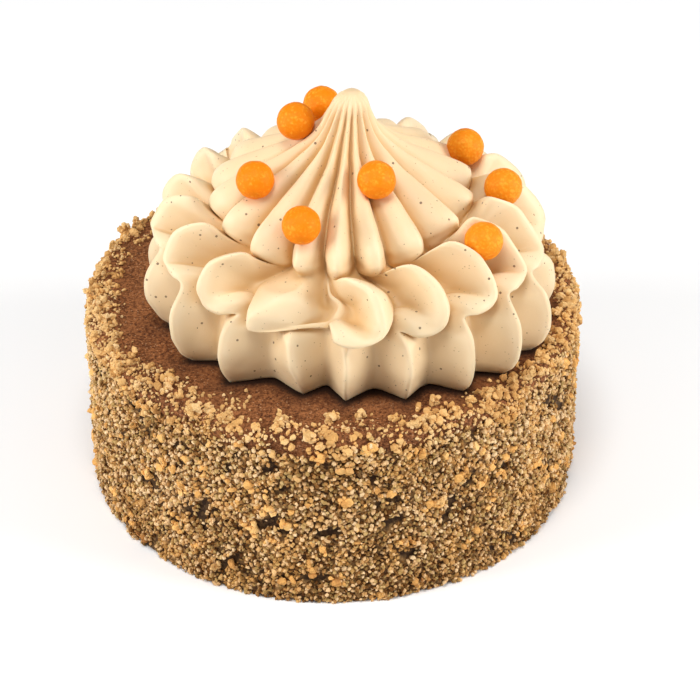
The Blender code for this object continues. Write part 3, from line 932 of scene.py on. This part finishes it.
def side_places(count, size, seed, proud):
    """Places strewn over the coated side, fewer in its hollows and toward the top edge."""
    draw = random.Random(seed)
    places = []
    for step in range(count):
        turn = step * GOLDEN_TURN + draw.uniform(-0.03, 0.03)
        scale = size * draw.uniform(0.6, 1.4)
        along = (step + draw.uniform(-60.0, 60.0)) * COAT_LENGTH / count
        along = min(max(along, 0.0), COAT_LENGTH - scale)
        depth = coat_depth(edge_place(turn, along, 0.0))
        bare = max(0.0, 1.0 - along / rim_band(turn)[2])
        if depth < draw.uniform(-0.68, -0.28) + bare * 0.9:
            continue
        centre = edge_place(turn, along, CRUMB_RELIEF * depth + draw.uniform(-CRUMB_SUNK, proud))
        places.append((centre, crumb_radii(draw, scale)))
    return places


def side_clumps(count, seed):
    """Larger crumbs that cling together on the side."""
    draw = random.Random(seed)
    places = []
    for step in range(count):
        turn = step * GOLDEN_TURN + 0.4
        middle = draw.uniform(0.5, COAT_LENGTH - 1.2)
        for _ in range(draw.choice((1, 1, 2, 3, 5, 7))):
            scale = 0.3 + 0.45 * draw.random() ** 2.0
            around = turn + draw.gauss(0.0, 0.8) / CAKE_SIDE
            along = min(middle + draw.gauss(0.0, 0.7), COAT_LENGTH - scale)
            places.append((edge_place(around, along, draw.uniform(0.0, 0.4)), crumb_radii(draw, scale)))
    return places


def rim_places(count, spread, low, high, seed, tree):
    """Clumps of loose crumbs round the edge of the top, in a band whose width changes round the cake."""
    draw = random.Random(seed)
    places = []
    for _ in range(count):
        turn = draw.uniform(-math.pi, math.pi)
        width, share, thin = rim_band(turn)
        if draw.random() > share:
            continue
        middle = -width * draw.random() ** 1.4 if draw.random() < 0.6 else thin * draw.random()
        for _ in range(draw.choice((1, 1, 2, 3, 5, 8))):
            scale = low + (high - low) * draw.random() ** 2.0
            around = turn + draw.gauss(0.0, spread) / CAKE_SIDE
            along = middle + draw.gauss(0.0, spread)
            centre = edge_place(around, along, scale * draw.choice((0.3, 0.5, 0.5, 1.0)))
            if tree.find_nearest(centre)[3] > scale * 1.2 * MM:
                places.append((centre, crumb_radii(draw, scale)))
    return places


def clump(draw, centre, size):
    """The lesser crumbs that a large crumb of the solid is made of."""
    places = []
    for _ in range(draw.randint(12, 18)):
        side = random_side(draw)
        scale = min(size * draw.uniform(0.2, 0.5), draw.uniform(0.3, 0.6))
        side *= (size - scale) * draw.uniform(0.4, 1.0) * MM
        places.append((centre + side, crumb_radii(draw, scale)))
    return places


def pass_draws(draw, count):
    """Passes over the draws that shaped the solid's own crumb."""
    for _ in range(count):
        draw.random()


def chip_size(step, count):
    return CHIP_BIG + (CHIP_SMALL - CHIP_BIG) * step / (count - 1)


def chip_places(tree):
    """Clumps of crumbs, where the solid has its large crumbs."""
    draw = random.Random(23)
    clumps = random.Random(24)
    places = []
    for step in range(RIM_CHIPS):
        size = chip_size(step, RIM_CHIPS)
        turn = step * GOLDEN_TURN
        distance = CHIP_OUTER - CHIP_BAND * draw.random() ** 1.5
        while distance <= CHIP_OUTER:
            centre = on_side(turn, CAKE_H + CHIP_RISE * size, distance)
            if tree.find_nearest(centre)[3] > (size * CHIP_REACH + CHIP_CLEAR) * MM:
                pass_draws(draw, CHIP_DRAWS)
                places += clump(clumps, centre, size)
                break
            distance += CHIP_CLEAR
    draw = random.Random(37)
    for step in range(SIDE_CHIPS):
        size = chip_size(step, SIDE_CHIPS)
        height = draw.uniform(CAKE_FOOT + 2.0 * size, CAKE_H - 2.0 * size)
        pass_draws(draw, CHIP_DRAWS)
        places += clump(clumps, on_side(step * GOLDEN_TURN + 1.0, height, CAKE_SIDE), size)
    return places


def crumb_finish(name, dark, middle, pale):
    """Dry biscuit whose tone changes from crumb to crumb, with painted shade toward the cake's foot."""
    finish = Finish(name, Roughness=0.85, Specular_IOR_Level=0.1)
    tone = finish.painted("tone")
    grain = finish.noise(0.3 * MM, 3.0, 0.6)
    patch = finish.noise(9.0 * MM, 2.0) + finish.noise(2.6 * MM, 1.0) * 0.7
    # Painted shade: the crumbs go darker toward the cake's foot
    foot = 1.0 - finish.height().step(0.0, FOOT_SHADE_HEIGHT * MM)
    share = tone * 0.45 + grain * 0.6 + (patch - 0.85) * 0.9 - foot * 0.2 - 0.04
    stops = [(0.0, dark), (0.45, middle), (1.0, pale)]
    colour = finish.node("ShaderNodeValToRGB", {"stops": stops}, {0: share})[0]
    toasted = finish.noise(4.5 * MM, 2.0).step(0.5, 0.66)
    colour = finish.mix(toasted * 0.45, colour, (0.74, 0.40, 0.12))
    finish.feed(Base_Color=colour, Normal=finish.bump(grain, 0.12 * MM, 0.8))
    return finish


class DESSERT_OT_side_crumbs(bpy.types.Operator):
    """Coats the side with fine crumbs of four kinds and golden clumps"""

    bl_idname = "dessert.side_crumbs"
    bl_label = "Crumb coat"

    def execute(self, context):
        settings = context.scene.cheesecake_crumbs
        draw = random.Random(5)
        size = settings.fine_size / MM
        plain = [crumb_shape(draw, 1, 0.55) for _ in range(16)]
        broken = [crumb_shape(draw, 2, 0.45) for _ in range(12)]
        cream = (0.87, 0.67, 0.41)
        pale = (settings.tan_colour, settings.pale_colour, cream)
        tan = (settings.toast_colour, settings.tan_colour, settings.pale_colour)
        khaki = ((0.17, 0.08, 0.02), (0.50, 0.32, 0.115), (0.80, 0.58, 0.29))
        brown = ((0.07, 0.025, 0.007), settings.toast_colour, settings.tan_colour)
        gold = ((0.34, 0.14, 0.04), settings.gold_colour, (0.92, 0.64, 0.28))
        kinds = (
            ("pale_crumbs", size, 51, 0.35, pale),
            ("tan_crumbs", size, 52, 0.2, tan),
            ("khaki_crumbs", size * 0.95, 53, 0.3, khaki),
            ("brown_crumbs", size * 0.95, 55, 0.1, brown),
        )
        for name, radius, seed, proud, colours in kinds:
            mesh = joined_crumbs(side_places(settings.fine, radius, seed, proud), plain, seed)
            add_piece(name, mesh, crumb_finish(name.replace("_", " "), *colours), False)
        mesh = joined_crumbs(side_clumps(settings.golden, 54), broken, 54)
        add_piece("golden_crumbs", mesh, crumb_finish("golden crumbs", *gold), False)
        return {"FINISHED"}


class DESSERT_OT_rim_crumbs(bpy.types.Operator):
    """Strews loose crumbs and larger chips along the edge of the top"""

    bl_idname = "dessert.rim_crumbs"
    bl_label = "Rim crumbs"

    def execute(self, context):
        settings = context.scene.cheesecake_crumbs
        draw = random.Random(7)
        tree = tree_of(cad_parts["swirl"])
        plain = [crumb_shape(draw, 1, 0.55) for _ in range(16)]
        broken = [crumb_shape(draw, 2, 0.45) for _ in range(16)]
        chips = [crumb_shape(draw, 2, 0.5) for _ in range(16)]
        pale = (settings.tan_colour, (0.70, 0.44, 0.18), (0.90, 0.67, 0.38))
        gold = ((0.34, 0.15, 0.045), (0.66, 0.37, 0.13), (0.86, 0.60, 0.28))
        kinds = (
            ("rim_dust", rim_places(settings.rim * 3, 1.0, 0.18, 0.4, 61, tree), plain, pale),
            ("rim_crumbs", rim_places(settings.rim, 0.8, 0.3, 0.65, 62, tree), broken, gold),
            ("biscuit_chips", chip_places(tree), chips, pale),
        )
        for name, places, shapes, colours in kinds:
            finish = crumb_finish(name.replace("_", " "), *colours)
            add_piece(name, joined_crumbs(places, shapes, len(places)), finish, False)
        return {"FINISHED"}


class DESSERT_OT_pearls(bpy.types.Operator):
    """Makes the round sugar pearls that stand for the pearl nodes"""

    bl_idname = "dessert.pearls"
    bl_label = "Sugar pearls"

    def execute(self, context):
        settings = context.scene.cheesecake_pearls
        finish = pearl_finish(settings)
        for node in PEARL_NODES:
            centre = pearl_centre(node)
            bm = bmesh.new()
            bmesh.ops.create_icosphere(bm, subdivisions=5, radius=settings.radius)
            for vert in bm.verts:
                place = vert.co + centre
                lump = noise.noise(place / (DIMPLE * MM)) + 0.8 * noise.noise(place / (GRAIN * MM))
                vert.co *= 1.0 + lump * settings.dimples / settings.radius
            bmesh.ops.translate(bm, verts=bm.verts, vec=centre)
            mesh = finished_mesh(bm)
            # Pearls deeper orange toward the left and paler toward the right
            ripe = min(max(0.5 - centre.x / DEEPENING_SPAN, 0.0), 1.0)
            paint(mesh, "ripe", [ripe] * len(mesh.vertices))
            pearl = add_piece("sugar_" + node, mesh, finish)
            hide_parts(node)
        return {"FINISHED"}


def pearl_finish(settings):
    """Matte orange sugar shell with a fine grain."""
    finish = Finish("orange sugar", Roughness=0.5, Specular_IOR_Level=0.12, Subsurface_Weight=0.15,
                    Subsurface_Scale=1.0 * MM, Subsurface_Radius=(1.0, 0.4, 0.1))
    grain = finish.noise(0.4 * MM, 3.0)
    crack = finish.cells(0.75 * MM, "F2") - finish.cells(0.75 * MM)
    tone = (grain + finish.noise(1.4 * MM, 1.0) * 0.7 + crack * 0.5).step(0.8, 1.5)
    tone = (tone + 0.3) - finish.painted("ripe") * 0.5
    colour = finish.mix(tone.step(0.0, 1.0), settings.colour, settings.pale_colour)
    finish.feed(Base_Color=colour, Normal=finish.bump(grain * 0.6 + crack, 0.09 * MM, 0.8))
    finish.feed(Roughness=grain * 0.3 + 0.35)
    return finish


def area_light(name, place, power):
    light = bpy.data.lights.new(name, "AREA")
    light.shape = "DISK"
    light.energy = power
    light.size = place[3]
    obj = bpy.data.objects.new(name, light)
    bpy.context.scene.collection.objects.link(obj)
    obj.location = place[:3]
    obj.rotation_euler = (AIM - obj.location).to_track_quat("-Z", "Y").to_euler()


class DESSERT_OT_stage(bpy.types.Operator):
    """Sets the pale floor, soft light and camera"""

    bl_idname = "dessert.stage"
    bl_label = "Stage"

    def execute(self, context):
        settings = context.scene.cheesecake_stage
        bm = bmesh.new()
        bmesh.ops.create_grid(bm, x_segments=1, y_segments=1, size=FLOOR_SIZE)
        finish = Finish("pale floor", Roughness=0.9)
        shade = finish.noise(40.0 * MM, 1.0).step(0.2, 0.8)
        colour = settings.floor_colour
        finish.feed(Base_Color=finish.mix(shade, colour, [value * 0.99 for value in colour]))
        mesh = bpy.data.meshes.new("floor")
        bm.to_mesh(mesh)
        bm.free()
        mesh.materials.append(finish.material)
        floor = bpy.data.objects.new("floor", mesh)
        context.scene.collection.objects.link(floor)
        area_light("top light", TOP_LIGHT, settings.top_power)
        area_light("left light", LEFT_LIGHT, settings.left_power)
        area_light("right light", RIGHT_LIGHT, settings.right_power)
        world = bpy.data.worlds.new("studio")
        context.scene.world = world
        world.use_nodes = True
        background = world.node_tree.nodes["Background"]
        background.inputs["Color"].default_value = (1.0, 1.0, 1.0, 1.0)
        background.inputs["Strength"].default_value = settings.dome
        camera = bpy.data.cameras.new("camera")
        camera.sensor_width = SENSOR_WIDTH
        camera.lens = LENS
        eye = bpy.data.objects.new("camera", camera)
        context.scene.collection.objects.link(eye)
        eye.location = CAMERA_PLACE
        eye.rotation_euler = (CAMERA_TILT, 0.0, 0.0)
        context.scene.camera = eye
        context.scene.view_settings.view_transform = "Standard"
        return {"FINISHED"}


class DESSERT_PT_panel(bpy.types.Panel):
    """Lists the cheesecake's pieces"""

    bl_label = "Cheesecake"
    bl_idname = "DESSERT_PT_panel"
    bl_space_type = "VIEW_3D"
    bl_region_type = "UI"
    bl_category = "Cheesecake"

    def draw(self, context):
        for operator in OPERATORS:
            self.layout.operator(operator.bl_idname)
        for name, group in SETTINGS.items():
            box = self.layout.box()
            box.label(text=group.__name__)
            for field in group.__annotations__:
                box.prop(getattr(context.scene, name), field)


SETTINGS = {
    "cheesecake_cream": CreamSettings,
    "cheesecake_cake": CakeSettings,
    "cheesecake_crumbs": CrumbSettings,
    "cheesecake_pearls": PearlSettings,
    "cheesecake_stage": StageSettings,
}
OPERATORS = (
    DESSERT_OT_cake, DESSERT_OT_side_crumbs, DESSERT_OT_rim_crumbs, DESSERT_OT_cream, DESSERT_OT_pearls,
    DESSERT_OT_stage,
)


def register():
    for group in (*SETTINGS.values(), *OPERATORS, DESSERT_PT_panel):
        bpy.utils.register_class(group)
    for name, group in SETTINGS.items():
        setattr(bpy.types.Scene, name, PointerProperty(type=group))


def unregister():
    for name in SETTINGS:
        delattr(bpy.types.Scene, name)
    for group in (*SETTINGS.values(), *OPERATORS, DESSERT_PT_panel):
        bpy.utils.unregister_class(group)


def build():
    register()
    for operator in OPERATORS:
        group, name = operator.bl_idname.split(".")
        getattr(getattr(bpy.ops, group), name)()


if __name__ == "__main__":
    build()
